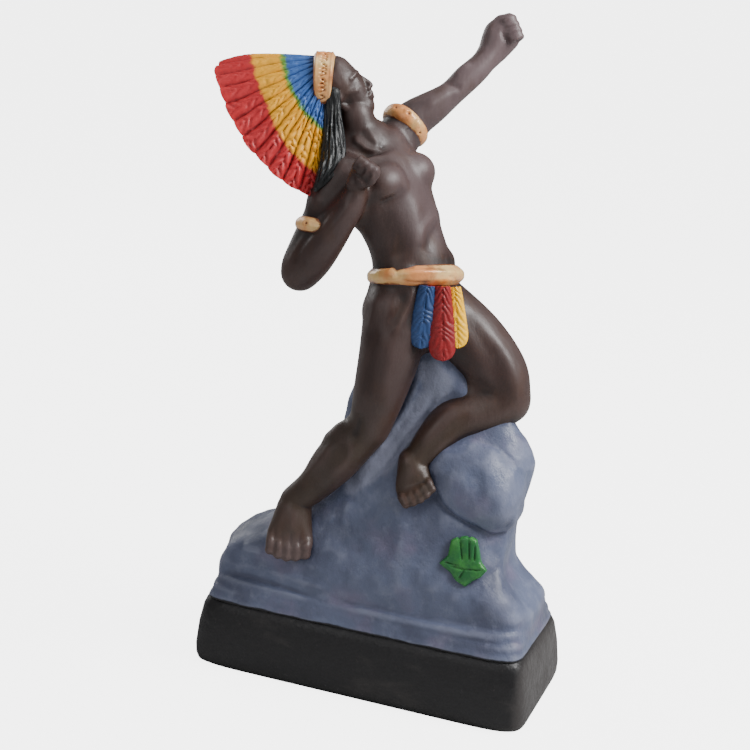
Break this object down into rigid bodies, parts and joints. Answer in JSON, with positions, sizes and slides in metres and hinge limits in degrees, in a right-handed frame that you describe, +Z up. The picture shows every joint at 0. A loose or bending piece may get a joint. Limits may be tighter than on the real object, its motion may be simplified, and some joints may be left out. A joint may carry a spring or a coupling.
{
  "type": "warrior statue",
  "caption": "Painted plaster statue of a warrior in a feathered bonnet who leans back on a rock and raises an arm, on a low rectangular plinth.",
  "frame": {"origin": "middle of the plinth's flat underside", "axes": "+Z up, +X along the plinth to the side of the raised arm and bent knee, -Y out of the front"},
  "size_m": [0.2144, 0.1313, 0.4002],
  "materials": {
    "painted_plaster": "satin"
  },
  "bodies": {
    "root": {"plaster_statue": "painted_plaster"}
  },
  "joints": []
}
